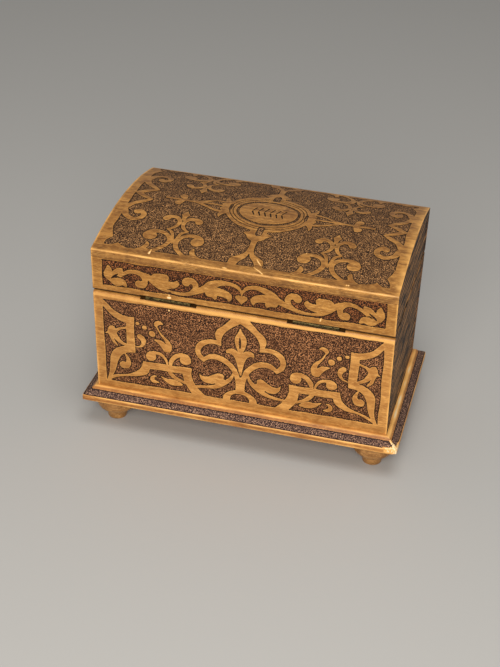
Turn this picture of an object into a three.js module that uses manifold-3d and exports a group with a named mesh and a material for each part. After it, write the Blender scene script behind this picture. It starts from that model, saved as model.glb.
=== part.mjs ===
// A small wooden jewelry casket with burnt decoration, standing on four turned feet.
// Its long walls lean outwards towards the top, its low arched lid turns on two brass butt hinges.
// Millimetres, +Z up. X runs along the length, the hinges are at the back, on the +Y side,
// and left and right are those of someone in front of the box, so left is the -X side.
// The origin is on the standing surface, under the middle of the plinth.

import * as THREE from "three";
import { mergeVertices } from "three/addons/utils/BufferGeometryUtils.js";
import Module from "manifold-3d";

const wasm = await Module();
wasm.setup();

// Body: four boards that stand on the plinth
const bodyLength = 200; // outside, along X
const bodyDepth = 111; // outside, along Y, at the foot of the walls
const bodyHeight = 77.4; // from the plinth to the rim
const wallLean = 5.2; // degrees that the long walls lean outwards
const wallThickness = 7;
const rimRound = 2.5; // rounded outer edge of the body's rim

// Lid: two long rails, two arched ends and a curved top
const lidWallHeight = 30.9; // from the lid's rim to the crease below the curved top
const lidRise = 8.8; // of the curved top above the crease
const lidTopEdge = 5.5; // height of the curved top's edge
const lidTopCrown = 5.8; // thickness of the curved top at its highest line
const lidRimRound = 1.2; // rounded outer edge of the lid's rim
const lidGap = 1.4; // between the two rims

// Plinth: a board with a moulded edge
const plinthThickness = 9;
const plinthOverhang = 8.9; // beyond the foot of the walls
const ledgeWidth = 1.75; // flat strip around the walls
const beadWidth = 1.8; // small slope outside the ledge
const beadDrop = 1.5;
const plinthEdge = 4; // upright edge below the wide chamfer

// Feet: turned, a wide bun above a narrow peg
const footHeight = 21.5;
const bunRadius = 13.6; // at the bun's widest, above its rounded lower part
const bunTopRadius = 11.6; // where the bun meets the plinth
const bunRound = 4.6; // height of the bun's rounded lower part
const bunLipRadius = 7.6; // of the bun's lower edge, above the groove
const neckRadius = 6.6; // of the groove between bun and peg
const pegRadius = 7.2;
const pegHeight = 7.6;
const pegTaper = 0.8; // that the peg loses in radius towards the floor
const pegShoulder = 1.4; // height of the slope from the peg's widest to the groove
const pegEdge = 0.8; // small slope around the peg's underside
const footInsetX = 18.3; // from the plinth's end to the foot's axis
const footInsetY = 20.5; // from the plinth's long edge to the foot's axis

// Hinges: butt hinges let into the two rims
const hingeSpacing = 98; // between the middles of the two hinges
const hingeLength = 30;
const hingeRecessLength = 38;
const hingeRecessDepth = 1; // in each rim
const knuckleRadius = 1.3;
const pinRadius = 0.55;
const leafThickness = 0.7;
const leafWidth = 5;
const pivotInset = 1.3; // of the hinge line inside the wall's outer face
const knuckleCount = 3;

// Clearances
const jointGap = 0.3; // between boards that are glued edge to edge
const fitGap = 0.1; // around the pin, and between a leaf and its recess
const arcSteps = 6; // straight pieces in a rounded edge
const archSteps = 40; // straight pieces across the curved top
const turnSteps = 40; // sides of a turned foot
const barrelSteps = 16; // sides of a pin or knuckle

// Heights and places that follow from the sizes above
const leanSlope = Math.tan(THREE.MathUtils.degToRad(wallLean));
const wallAcross = wallThickness / Math.cos(THREE.MathUtils.degToRad(wallLean)); // level width of a leaning wall
const plinthTop = footHeight + plinthThickness;
const bodyRim = plinthTop + bodyHeight;
const lidRim = bodyRim + lidGap;
const crease = lidRim + lidWallHeight;
const lidSeat = crease - lidTopEdge; // where the curved top rests on the rails
const lidCrown = crease + lidRise;
const outsideAt = (z) => bodyDepth / 2 + (z - plinthTop) * leanSlope; // half depth of the box at a height
const insideAt = (z) => outsideAt(z) - wallAcross;
const pivotZ = bodyRim + lidGap / 2;
const pivotY = outsideAt(pivotZ) - pivotInset;

const burntWood = { color: 0x7b5230, roughness: 0.6, metalness: 0 };
const plainWood = { color: 0xc49250, roughness: 0.55, metalness: 0 };
const oldBrass = { color: 0x5a5236, roughness: 0.45, metalness: 0.8 };

// A named mesh with a material of its own.
function piece(name, geometry, finish) {
  const mesh = new THREE.Mesh(geometry, new THREE.MeshStandardMaterial(finish));
  mesh.name = name;
  return mesh;
}

// Turns a closed geometry into a solid that can be cut and joined.
function solid(geometry) {
  const bare = geometry.clone();
  bare.deleteAttribute("normal");
  bare.deleteAttribute("uv");
  const merged = mergeVertices(bare, 1e-4);
  return new wasm.Manifold(
    new wasm.Mesh({
      numProp: 3,
      vertProperties: new Float32Array(merged.attributes.position.array),
      triVerts: new Uint32Array(merged.index.array),
    }),
  );
}

// Turns a solid back into a geometry.
function shape(body) {
  const mesh = body.getMesh();
  const geometry = new THREE.BufferGeometry();
  geometry.setAttribute("position", new THREE.BufferAttribute(mesh.vertProperties, 3));
  geometry.setIndex(new THREE.BufferAttribute(mesh.triVerts, 1));
  return geometry;
}

// A board: an outline in the YZ plane, as pairs of y and z, carried along X from one place to another.
function board(outline, fromX, toX) {
  const section = new THREE.Shape(outline.map(([y, z]) => new THREE.Vector2(y, z)));
  const geometry = new THREE.ExtrudeGeometry(section, { depth: toX - fromX, bevelEnabled: false });
  const upright = new THREE.Matrix4().makeBasis(
    new THREE.Vector3(0, 1, 0),
    new THREE.Vector3(0, 0, 1),
    new THREE.Vector3(1, 0, 0),
  );
  return geometry.applyMatrix4(upright).translate(fromX, 0, 0);
}

// Points on an arc about a centre, between two angles in degrees counted from +Y towards +Z.
function arc(centreY, centreZ, radius, from, to, steps) {
  return Array.from({ length: steps + 1 }, (_, i) => {
    const angle = THREE.MathUtils.degToRad(from + ((to - from) * i) / steps);
    return [centreY + radius * Math.cos(angle), centreZ + radius * Math.sin(angle)];
  });
}

// Points of a shallow arch with its ends at plus and minus half, from the +Y end to the -Y end.
function arch(half, springZ, rise) {
  const radius = (half * half + rise * rise) / (2 * rise);
  const spread = THREE.MathUtils.radToDeg(Math.asin(half / radius));
  return arc(0, springZ + rise - radius, radius, 90 - spread, 90 + spread, archSteps);
}

// The outline mirrored to the -Y side, still running the same way round.
function mirrored(outline) {
  return outline.map(([y, z]) => [-y, z]).reverse();
}

// The round edge of a rim, where a rounding of this radius meets the leaning face and the level rim.
// It runs from the leaning face to the rim when up is 1, and from the rim to the face when up is -1.
function rimEdge(rimZ, radius, up) {
  const tilt = wallLean * up;
  const centreZ = rimZ - up * radius;
  const centreY = outsideAt(centreZ) - radius / Math.cos(THREE.MathUtils.degToRad(wallLean));
  return up > 0
    ? arc(centreY, centreZ, radius, -tilt, 90, arcSteps)
    : arc(centreY, centreZ, radius, -90, tilt, arcSteps);
}

// Section of a long body wall on the +Y side.
function bodyWallOutline() {
  return [
    [insideAt(plinthTop), plinthTop],
    [outsideAt(plinthTop), plinthTop],
    ...rimEdge(bodyRim, rimRound, 1),
    [insideAt(bodyRim), bodyRim],
  ];
}

// Section of a long lid rail on the +Y side.
function lidRailOutline() {
  const top = lidSeat - jointGap;
  return [
    [insideAt(lidRim), lidRim],
    ...rimEdge(lidRim, lidRimRound, -1),
    [outsideAt(top), top],
    [insideAt(top), top],
  ];
}

// End boards fill the room between the long walls.
function bodyEndOutline() {
  const low = insideAt(plinthTop) - jointGap;
  const high = insideAt(bodyRim) - jointGap;
  return [
    [-low, plinthTop],
    [low, plinthTop],
    [high, bodyRim],
    [-high, bodyRim],
  ];
}

function lidEndOutline() {
  const low = insideAt(lidRim) - jointGap;
  const high = insideAt(lidSeat) - jointGap;
  const rise = innerRise();
  return [[-low, lidRim], [low, lidRim], ...arch(high, lidSeat - jointGap, rise)];
}

// Rise of the curved top's hollow underside.
function innerRise() {
  return lidCrown - lidTopCrown - lidSeat;
}

// The curved top rests on the rails with a level strip along each side.
function lidTopOutline() {
  const hollow = arch(insideAt(lidSeat), lidSeat, innerRise());
  return [
    ...arch(outsideAt(crease), crease, lidRise),
    [-outsideAt(lidSeat), lidSeat],
    ...hollow.reverse(),
    [outsideAt(lidSeat), lidSeat],
  ];
}

// A solid made of level rectangles stacked from the lowest to the highest.
function stackedRectangles(levels) {
  const points = levels.flatMap(({ x, y, z }) => [
    [x, y, z],
    [-x, y, z],
    [-x, -y, z],
    [x, -y, z],
  ]);
  const last = points.length - 4;
  const faces = [
    [0, 2, 1],
    [0, 3, 2],
    [last, last + 1, last + 2],
    [last, last + 2, last + 3],
  ];
  for (let base = 0; base < last; base += 4) {
    for (let side = 0; side < 4; side += 1) {
      const a = base + side;
      const b = base + ((side + 1) % 4);
      faces.push([a, b, b + 4], [a, b + 4, a + 4]);
    }
  }
  const geometry = new THREE.BufferGeometry();
  geometry.setAttribute("position", new THREE.Float32BufferAttribute(points.flat(), 3));
  geometry.setIndex(faces.flat());
  return geometry;
}

// The plinth: upright edge, wide chamfer, small sloping bead and flat ledge around the walls.
function plinth() {
  const level = (out, z) => ({ x: bodyLength / 2 + out, y: bodyDepth / 2 + out, z });
  const geometry = stackedRectangles([
    level(plinthOverhang, footHeight),
    level(plinthOverhang, footHeight + plinthEdge),
    level(ledgeWidth + beadWidth, plinthTop - beadDrop),
    level(ledgeWidth, plinthTop),
  ]);
  return piece("plinth", geometry, plainWood);
}

// Profile of a turned foot as pairs of radius and height, from the floor up.
// The bun's lower part is a quarter of an ellipse, and above it the radius falls as a cosine.
function footProfile() {
  const widest = pegHeight + bunRound;
  const quarter = Array.from({ length: arcSteps + 1 }, (_, i) => (i / arcSteps) * (Math.PI / 2));
  const lower = quarter.map((t) => [
    bunLipRadius + (bunRadius - bunLipRadius) * Math.sin(t),
    pegHeight + bunRound * (1 - Math.cos(t)),
  ]);
  const upper = quarter.slice(1).map((t) => [
    bunTopRadius + (bunRadius - bunTopRadius) * Math.cos(t),
    widest + ((footHeight - widest) * t) / (Math.PI / 2),
  ]);
  return [
    [0, 0],
    [pegRadius - pegTaper - pegEdge, 0],
    [pegRadius - pegTaper, pegEdge],
    [pegRadius, pegHeight - pegShoulder],
    [neckRadius, pegHeight],
    ...lower,
    ...upper,
    [0, footHeight],
  ];
}

function foot(name, x, y) {
  const profile = footProfile().map(([r, z]) => new THREE.Vector2(r, z));
  const geometry = new THREE.LatheGeometry(profile, turnSteps).rotateX(Math.PI / 2);
  const mesh = piece(name, geometry, plainWood);
  mesh.position.set(x, y, 0);
  return mesh;
}

// The recesses for both hinges, in the rims of the hinge side.
function hingeRecesses() {
  const height = lidGap + 2 * hingeRecessDepth;
  const block = (x) =>
    solid(
      new THREE.BoxGeometry(hingeRecessLength, 4 * wallThickness, height).translate(
        x,
        outsideAt(pivotZ),
        pivotZ,
      ),
    );
  return block(-hingeSpacing / 2).add(block(hingeSpacing / 2));
}

// A round bar along X on the hinge line.
function barrel(radius, fromX, toX) {
  return new THREE.CylinderGeometry(radius, radius, toX - fromX, barrelSteps)
    .rotateZ(Math.PI / 2)
    .translate((fromX + toX) / 2, pivotY, pivotZ);
}

// A leaf with its share of the knuckles. The side is -1 for the leaf on the body and 1 for the one on the lid.
function hingeLeaf(name, centreX, side) {
  const start = centreX - hingeLength / 2;
  const knuckle = hingeLength / knuckleCount;
  const toLeaf = lidGap / 2 + hingeRecessDepth - fitGap - leafThickness; // from the hinge line to the leaf
  const outward = knuckleRadius / 3; // that the leaf reaches past the hinge line into its knuckles
  const plate = new THREE.BoxGeometry(hingeLength, leafWidth + outward, leafThickness).translate(
    centreX,
    pivotY + (outward - leafWidth) / 2,
    pivotZ + side * (toLeaf + leafThickness / 2),
  );
  const parity = side < 0 ? 0 : 1;
  let leaf = solid(plate);
  for (let i = parity; i < knuckleCount; i += 2) {
    leaf = leaf.add(solid(barrel(knuckleRadius, start + i * knuckle, start + (i + 1) * knuckle)));
  }
  for (let i = 1 - parity; i < knuckleCount; i += 2) {
    const room = 2 * (knuckleRadius + fitGap);
    const notch = new THREE.BoxGeometry(knuckle + 2 * fitGap, room, 2 * room);
    leaf = leaf.subtract(solid(notch.translate(start + (i + 0.5) * knuckle, pivotY, pivotZ)));
  }
  const bore = solid(barrel(pinRadius + fitGap, start - fitGap, start + hingeLength + fitGap));
  return piece(name, shape(leaf.subtract(bore)), oldBrass);
}

function hinge(side, centreX) {
  const group = new THREE.Group();
  const half = hingeLength / 2;
  group.add(hingeLeaf(`hinge_leaf_body_${side}`, centreX, -1));
  group.add(hingeLeaf(`hinge_leaf_lid_${side}`, centreX, 1));
  group.add(piece(`hinge_pin_${side}`, barrel(pinRadius, centreX - half, centreX + half), oldBrass));
  return group;
}

// The box below the hinge line.
function body() {
  const group = new THREE.Group();
  const end = bodyLength / 2;
  const wall = solid(board(bodyWallOutline(), -end, end)).subtract(hingeRecesses());
  group.add(plinth());
  group.add(piece("body_wall_back", shape(wall), burntWood));
  group.add(piece("body_wall_front", board(mirrored(bodyWallOutline()), -end, end), burntWood));
  group.add(piece("body_end_left", board(bodyEndOutline(), -end, wallThickness - end), burntWood));
  group.add(piece("body_end_right", board(bodyEndOutline(), end - wallThickness, end), burntWood));
  const footX = end + plinthOverhang - footInsetX;
  const footY = bodyDepth / 2 + plinthOverhang - footInsetY;
  group.add(foot("foot_back_left", -footX, footY));
  group.add(foot("foot_back_right", footX, footY));
  group.add(foot("foot_front_left", -footX, -footY));
  group.add(foot("foot_front_right", footX, -footY));
  return group;
}

// The lid above the hinge line.
function lid() {
  const group = new THREE.Group();
  const end = bodyLength / 2;
  const rail = solid(board(lidRailOutline(), -end, end)).subtract(hingeRecesses());
  group.add(piece("lid_rail_back", shape(rail), burntWood));
  group.add(piece("lid_rail_front", board(mirrored(lidRailOutline()), -end, end), burntWood));
  group.add(piece("lid_end_left", board(lidEndOutline(), -end, wallThickness - end), burntWood));
  group.add(piece("lid_end_right", board(lidEndOutline(), end - wallThickness, end), burntWood));
  group.add(piece("lid_top", board(lidTopOutline(), -end, end), burntWood));
  return group;
}

const box = new THREE.Group();
box.add(body(), lid());
box.add(hinge("left", -hingeSpacing / 2), hinge("right", hingeSpacing / 2));

export default box;
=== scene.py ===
# %% [markdown]
# # A jewelry casket with burnt decoration
# The real thing is a small wooden box on four turned feet, with an arched lid on two butt hinges.
# Its faces were stained, and the ground around a scrolling ornament was burnt and punched dark, so
# that the ornament stands in the colour of the wood. The construction is already there as the
# frame: this file gives every board its relief, its burnt ground and its grain.
# All sizes below are millimetres in the casket's own frame. The mesh functions turn them to metres.

# %% Loading the frame
import math

import bpy
import numpy as np
from mathutils import Matrix, Vector


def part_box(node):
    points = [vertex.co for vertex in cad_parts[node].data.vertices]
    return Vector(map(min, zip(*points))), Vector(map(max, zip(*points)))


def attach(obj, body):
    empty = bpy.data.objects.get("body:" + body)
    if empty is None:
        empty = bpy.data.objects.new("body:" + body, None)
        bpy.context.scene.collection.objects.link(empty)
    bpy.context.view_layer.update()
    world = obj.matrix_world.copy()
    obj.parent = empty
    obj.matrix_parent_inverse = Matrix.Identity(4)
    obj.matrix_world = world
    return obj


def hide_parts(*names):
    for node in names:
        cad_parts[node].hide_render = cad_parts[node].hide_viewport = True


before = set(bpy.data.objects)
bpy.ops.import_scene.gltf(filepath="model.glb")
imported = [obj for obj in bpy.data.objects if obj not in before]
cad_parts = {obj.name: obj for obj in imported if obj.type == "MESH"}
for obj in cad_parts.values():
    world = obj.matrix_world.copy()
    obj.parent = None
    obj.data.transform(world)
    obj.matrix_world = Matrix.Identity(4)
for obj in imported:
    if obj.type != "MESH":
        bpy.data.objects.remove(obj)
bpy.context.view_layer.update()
MM = 0.001

# %% [markdown]
# ## Sizes that the frame gives
# Nothing is measured twice. The boards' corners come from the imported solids, and only what a
# box of corners can't tell, such as the lean of the long walls, is written here again.

# %% Heights, lengths and the leaning wall
WALL = 7.0  # thickness of the boards
LEAN = math.radians(5.2)  # the long walls lean outwards by this much
GLUE_GAP = 0.3


def corners(node):
    """The lowest and highest corner of a CAD node, in millimetres."""
    low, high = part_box(node)
    return np.array(low) / MM, np.array(high) / MM


back_low, back_high = corners("body_wall_back")
top_low, top_high = corners("lid_top")
plinth_low, plinth_high = corners("plinth")

END = back_high[0]  # half the casket's length
PLINTH_TOP = back_low[2]
BODY_RIM = back_high[2]
LID_RIM = corners("lid_rail_back")[0][2]
LID_SEAT = top_low[2]
CROWN = top_high[2]


def outside(z):
    """Half the casket's depth at a height: the foot of the wall's outer face plus the lean."""
    return back_low[1] + WALL / math.cos(LEAN) + (z - PLINTH_TOP) * math.tan(LEAN)


def inside(z):
    """The same for the wall's inner face, a level wall thickness further in."""
    return outside(z) - WALL / math.cos(LEAN)


print("half length", END, "half depth at the foot", round(outside(PLINTH_TOP), 2),
      "heights", PLINTH_TOP, BODY_RIM, LID_RIM, LID_SEAT, CROWN)

# %% [markdown]
# ## The camera
# The photograph was taken from behind the casket, above it and a little to one side, with a
# long lens held slightly askew. The place, the two angles and the roll were found by matching
# the corners of the boards, so the render can be laid over the photograph.

# %% Camera
CAMERA_PLACE = Vector((-0.185945, 0.828906, 0.57255))
CAMERA_TURN = math.radians(193.178)  # about Z, counted from a camera that looks along +Y
CAMERA_TILT = math.radians(31.246)  # looking down
CAMERA_ROLL = math.radians(2.532)
CAMERA_LENS = 77.24

eye = bpy.data.cameras.new("camera")
eye.lens = CAMERA_LENS
camera = bpy.data.objects.new("camera", eye)
bpy.context.collection.objects.link(camera)
camera.matrix_world = (Matrix.Translation(CAMERA_PLACE) @ Matrix.Rotation(CAMERA_TURN, 4, "Z")
                       @ Matrix.Rotation(math.pi / 2 - CAMERA_TILT, 4, "X")
                       @ Matrix.Rotation(CAMERA_ROLL, 4, "Z"))
bpy.context.scene.camera = camera
print("camera looks along", [round(c, 4) for c in -camera.matrix_world.col[2].xyz])

# %% [markdown]
# ## Floor and light
# A pale sheet stands for the studio floor. A large soft lamp behind the camera, and a little
# above it, makes the long wall the brightest face, as it is on the photograph. The end board
# stays in shade, and a weaker lamp overhead keeps the lid readable. The plain view transform
# shows the woods as saturated as their colours are written.

# %% Floor
FLOOR_HALF = 6.0
floor_mesh = bpy.data.meshes.new("floor")
floor_turns = ((-1, -1), (1, -1), (1, 1), (-1, 1))
floor_corners = [(x * FLOOR_HALF, y * FLOOR_HALF, 0) for x, y in floor_turns]
floor_mesh.from_pydata(floor_corners, [], [(0, 1, 2, 3)])
floor = bpy.data.objects.new("floor", floor_mesh)
bpy.context.collection.objects.link(floor)
floor_paint = bpy.data.materials.new("floor_paint")
floor_paint.use_nodes = True
floor_shader = floor_paint.node_tree.nodes["Principled BSDF"]
floor_shader.inputs["Base Color"].default_value = (0.5, 0.49, 0.47, 1)
floor_shader.inputs["Roughness"].default_value = 0.8
floor_mesh.materials.append(floor_paint)
bpy.context.scene.view_settings.view_transform = "Standard"


# %% Lamps and sky
MIDDLE = Vector((0, 0, 0.07))


def lamp(name, place, size, power, colour):
    """A square soft lamp at a place, turned so that it shines at the middle of the casket."""
    light = bpy.data.lights.new(name, "AREA")
    light.size = size
    light.energy = power
    light.color = colour
    holder = bpy.data.objects.new(name, light)
    bpy.context.collection.objects.link(holder)
    holder.location = place
    holder.rotation_euler = (MIDDLE - Vector(place)).to_track_quat("-Z", "Y").to_euler()


lamp("key", (-0.2, 1.4, 0.8), 0.8, 18.6, (1, 0.97, 0.92))
lamp("overhead", (-0.2, 0.5, 1.5), 0.8, 8.8, (1, 0.98, 0.95))
sky = bpy.data.worlds.new("studio")
sky.use_nodes = True
sky.node_tree.nodes["Background"].inputs["Color"].default_value = (0.95, 0.94, 0.92, 1)
sky.node_tree.nodes["Background"].inputs["Strength"].default_value = 0.27
bpy.context.scene.world = sky

# %% [markdown]
# ## A small language for drawing on wood
# The ornament could be an image, a set of curves cut into the boards, or a distance field.
# The field is chosen: for every place on a board it says how far the nearest drawn edge is,
# less than nothing inside the drawing. One number then gives the step in the relief, the
# crisp edge of the colour and the darker rim that a burning iron leaves.
# Two kinds of mark are enough. A stroke is a soft line that swells and thins, good for curls.
# A shape is a closed outline made of runs, smooth along each run and sharp where two runs meet.

# %% Smooth lines
REACH = 2.5  # further than this from an edge the field is level
SPAN_STEPS = 8  # straight pieces between two knots


def smooth(knots):
    """A curve through the knots: each span is a cubic whose slope at a knot is half the line
    between that knot's two neighbours. Two knots alone give a straight line."""
    knots = np.asarray(knots, float)
    if len(knots) == 2:
        return knots
    ends = np.vstack((2 * knots[0] - knots[1], knots, 2 * knots[-1] - knots[-2]))
    before, start, stop, after = (ends[k:len(ends) - 3 + k] for k in range(4))
    t = (np.arange(SPAN_STEPS) / SPAN_STEPS)[:, None, None]
    bend = 2 * before - 5 * start + 4 * stop - after
    twist = 3 * (start - stop) + after - before
    spans = start + 0.5 * t * (stop - before + t * (bend + t * twist))
    return np.vstack((spans.transpose(1, 0, 2).reshape(-1, knots.shape[1]), knots[-1:]))


# %% Strokes, dots and shapes
def stroke(*knots):
    """A line that swells and thins. Each knot is across, up and the width there."""
    return "stroke", smooth(knots)


def dot(across, up, radius):
    return "stroke", np.array([(across, up, 2 * radius), (across, up + 0.01, 2 * radius)])


def shape(*runs):
    """A closed outline. Each run is smooth, and runs meet at sharp corners."""
    points = [smooth(run) for run in runs]
    return "shape", np.vstack(points)


# %% The distance field
def mark_distance(kind, line, across, up):
    """Distance from one mark. For every straight piece of its line it is the distance to the
    nearest point of that piece, for a stroke less half the width there. A place is inside a
    shape if a level line to its right crosses the outline an odd number of times."""
    nearest = np.full(across.shape, REACH)
    within = np.zeros(across.shape, bool)
    following = np.roll(line, -1, axis=0) if kind == "shape" else line[1:]
    for start, stop in zip(line, following):
        step = stop[:2] - start[:2]
        if not step.any():
            continue
        t = ((across - start[0]) * step[0] + (up - start[1]) * step[1]) / (step @ step)
        t = np.clip(t, 0, 1)
        away = np.hypot(across - start[0] - t * step[0], up - start[1] - t * step[1])
        if kind == "stroke":
            away = away - (start[2] + (stop[2] - start[2]) * t) / 2
        elif step[1]:
            crossing = start[0] + (up - start[1]) * step[0] / step[1]
            within ^= ((up < start[1]) != (up < stop[1])) & (across < crossing)
        nearest = np.minimum(nearest, away)
    return np.where(within, -nearest, nearest)


def drawn(marks, across, up):
    """Distance from the nearest of several marks, worked out only close to each of them."""
    field = np.full(across.shape, REACH)
    for kind, line in marks:
        grow = REACH + (line[:, 2].max() / 2 if kind == "stroke" else 0)
        low = line[:, :2].min(axis=0) - grow
        high = line[:, :2].max(axis=0) + grow
        close = (across > low[0]) & (across < high[0]) & (up > low[1]) & (up < high[1])
        field[close] = np.minimum(field[close], mark_distance(kind, line, across[close], up[close]))
    return field


def bordered(field, *margins):
    """Keeps a plain border: each margin is how far inside its edge a place of the ground is."""
    for margin in margins:
        field = np.minimum(field, margin)
    return field


HAND_SHIFT = 0.16


def unsteady(across, up, seed):
    """The places moved a little by slow waves, because the lines were drawn by hand."""
    rng = np.random.default_rng(seed)
    moved = []
    for own in (across, up):
        shift = np.zeros(across.shape)
        for length in (17.0, 29.0, 43.0):
            turn, phase = rng.uniform(0, 2 * math.pi, 2)
            along = across * math.cos(turn) + up * math.sin(turn)
            shift += HAND_SHIFT * np.sin(2 * math.pi * along / length + phase)
        moved.append(own + shift)
    return moved


# %% [markdown]
# ## The ornament of the long wall
# Half of it is drawn and the other half mirrored, as the craftsman's stencil did. Across runs
# from the wall's end to its middle at 100, and up runs from the plinth. A strap frames each
# corner, a shelf carries two scrolls, and a trefoil strap in the middle holds a lily.

# %% Straps
HALF = 100.0  # the mirror line
BEYOND = 104.0  # marks on the mirror line run on to here, so that no seam is drawn
CORNER_STRAP = [
    shape([(5.5, 74), (9.5, 69.8), (14, 65), (20, 62.4), (27.4, 61.8)],
          [(27.4, 61.8), (27.4, 32.7)],
          [(27.4, 32.7), (22, 31.9), (17.6, 29), (14.8, 23.5), (13.2, 16), (10.8, 10.2)],
          [(10.8, 10.2), (9, 6), (6, 5)],
          [(6, 5), (8.6, 13), (9.3, 21), (9.9, 28), (13.5, 33.5), (21.8, 38)],
          [(21.8, 38), (21.8, 56.8)],
          [(21.8, 56.8), (16.5, 58.2), (11, 62), (5.5, 69)]),
]
SHELF_STRAP = [
    shape([(8, 6), (10.8, 10.2), (15, 12.3), (22, 14.2), (27.5, 17), (31.3, 21), (32.8, 27.2)],
          [(32.8, 27.2), (67, 27.2)],
          [(67, 27.2), (66.6, 21), (69.5, 13.5), (76.8, 5.5)],
          [(76.8, 5.5), (67, 5.5)],
          [(67, 5.5), (63, 11.5), (60.8, 16.5), (60, 21.6)],
          [(60, 21.6), (37.5, 21.6)],
          [(37.5, 21.6), (35.5, 16.9), (29, 13.5), (20, 11.9), (13, 9.3), (8, 6)]),
]
TREFOIL_STRAP = [
    shape([(95.5, 75), (88.5, 66.8), (84, 62), (82.8, 57.5), (83.7, 53.6)],
          [(83.7, 53.6), (78.5, 53.9), (73.5, 52), (70.2, 48), (69.4, 42.8), (71.2, 38), (75.4, 34.3)],
          [(75.4, 34.3), (78.5, 37), (83, 38), (88, 36.7), (92, 33.6), (94.8, 29), (96.6, 22), (97, 14)],
          [(97, 14), (BEYOND, 14)],
          [(BEYOND, 26.5), (99.4, 26.5)],
          [(99.4, 26.5), (97.4, 32.6), (93.8, 37.6), (89, 41.2), (83, 42.4), (78.5, 41.2), (75.6, 38.4)],
          [(75.6, 38.4), (73.2, 42), (73.8, 46.3), (77, 49.6), (81, 50.5), (86.8, 50)],
          [(86.8, 50), (87.1, 56), (89.8, 61.6), (94, 65.8), (HALF, 70)],
          [(BEYOND, 70), (BEYOND, 75)]),
]

# %% Leaves, scrolls and the lily
CORNER_LEAVES = [
    stroke((20, 31.3, .5), (22, 28, 2.2), (22.7, 24.5, 3.6), (21.3, 21.5, 4.8), (18.9, 21.5, 5.8)),
    stroke((28.2, 37.6, .9), (31.3, 38.7, 1.5), (33.3, 41.5, 2.6), (33.2, 44.8, 3.8), (31.3, 46.8, 4)),
    stroke((7.4, 45.8, .6), (9.7, 47, 1.9), (12, 48.5, 4)),
    stroke((12, 50.4, 4.6), (12.2, 47.5, 6.4), (11.9, 43.4, 3), (12.9, 39.5, 2.2), (15.2, 36.6, 1.2)),
    stroke((13.2, 47, 3.4), (15, 43, 3.6), (17.6, 40, 2.8), (21.9, 37.8, 1.6)),
    stroke((14, 48, 3), (17, 50.9, 1.9), (21.9, 53, 1.4)),
]
SCROLLS = [
    dot(29.6, 57.2, 1.3),
    dot(34.4, 54.9, 1.6),
    dot(39.6, 51.1, 2.3),
    stroke((43.6, 56.3, .9), (46, 51.6, 1.3), (49.4, 47.6, 2.6), (51, 43.6, 4.2), (50, 40.4, 5.6)),
    stroke((41.2, 46.4, 1), (44.5, 45.2, 3.4), (47.3, 42.5, 4.6), (49, 40, 5.2)),
    stroke((43, 57, .9), (43, 59.2, 3.2), (45, 60.5, 3), (47.2, 60, 1.2)),
    stroke((49.8, 27, 1), (48.6, 31, 1.8), (45.8, 34.3, 2.2), (42, 35.6, 2.5),
           (38.9, 34.4, 4.4), (38.4, 32.2, 7.4)),
    stroke((51.4, 26, 1.6), (52.6, 31, 3.2), (55.5, 35, 3.4), (59.5, 36.9, 3.6),
           (62.8, 35.4, 5), (62.6, 33, 7.8)),
    stroke((42, 16.2, .6), (39.7, 15.2, 2), (38.8, 13, 2.8), (40, 11.2, 2.8), (43, 10.6, 1)),
    stroke((50.5, 22, 2), (53.3, 18.6, 3), (57, 16, 2.2), (61.5, 14, 2)),
    stroke((45.3, 16.2, .6), (49.5, 13.7, 3.4), (54, 12.9, 5.2), (58.6, 12, 2.2)),
]
LILY = [
    shape([(HALF, 66.8), (98.4, 62.6), (96.3, 59), (95.8, 55.3), (96.8, 51.3), (98.4, 47.2)],
          [(98.4, 47.2), (96.3, 48.9), (93.3, 49.4), (90.7, 48), (90.3, 45.2)],
          [(90.3, 45.2), (93.5, 45.3), (96, 42.8), (97.4, 39), (98.4, 34), (99.6, 28)],
          [(BEYOND, 28), (BEYOND, 66.8)]),
    shape([(88.3, 5.5), (89.2, 9.8), (92.5, 13.2), (97.3, 15.6)],
          [(BEYOND, 15.6), (BEYOND, 12.6)],
          [(HALF, 12.6), (96.8, 12), (94.3, 9.8), (93.6, 6.6)],
          [(93.6, 6.6), (93.6, 5.5)]),
    stroke((95.4, 30.4, 1), (93.3, 24.5, 2.4), (89.3, 20, 3.4), (84, 16.3, 3.4),
           (78, 14.3, 2.4), (70, 13.2, 2)),
    shape([(71.7, 25), (73.8, 22.9), (77.5, 22.9), (81.5, 25), (85, 27.1), (88, 27)],
          [(88, 27), (88.9, 25.5), (88.6, 23.4), (90.2, 22.6)],
          [(90.2, 22.6), (87, 19), (83, 18)],
          [(83, 18.9), (80.5, 17.6), (76, 17.8), (72.8, 20.3), (71.7, 25)]),
]
LILY_SLIT = [stroke((99.5, 59, .4), (99.4, 55, 1.8), (99.5, 50.5, 1))]

# %% The long wall's field
WALL_BORDER = 6.2  # plain strip at the ends and along the plinth
WALL_TOP_BORDER = 73.4  # the ground ends at this height, below the rim
WALL_SKEW = 0.01  # the drawing lies lower by this share of the way towards +X


def wall_field(x, up, marks):
    """The wall's drawing at a place: x along the casket, up the face from the plinth."""
    across, up = unsteady(HALF - x, up + WALL_SKEW * x, 3)
    half = HALF - np.abs(HALF - across)
    field = np.maximum(drawn(marks, half, up), -drawn(LILY_SLIT, across, up))
    return bordered(field, half - WALL_BORDER, up - WALL_BORDER, WALL_TOP_BORDER - up)


# %% [markdown]
# ## The ornament of the lid's rail
# A vine runs from a tulip at the end, through two curls and two broad leaves, to a small
# heart in the middle. It is drawn the same way, half of it and then its mirror image.

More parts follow.
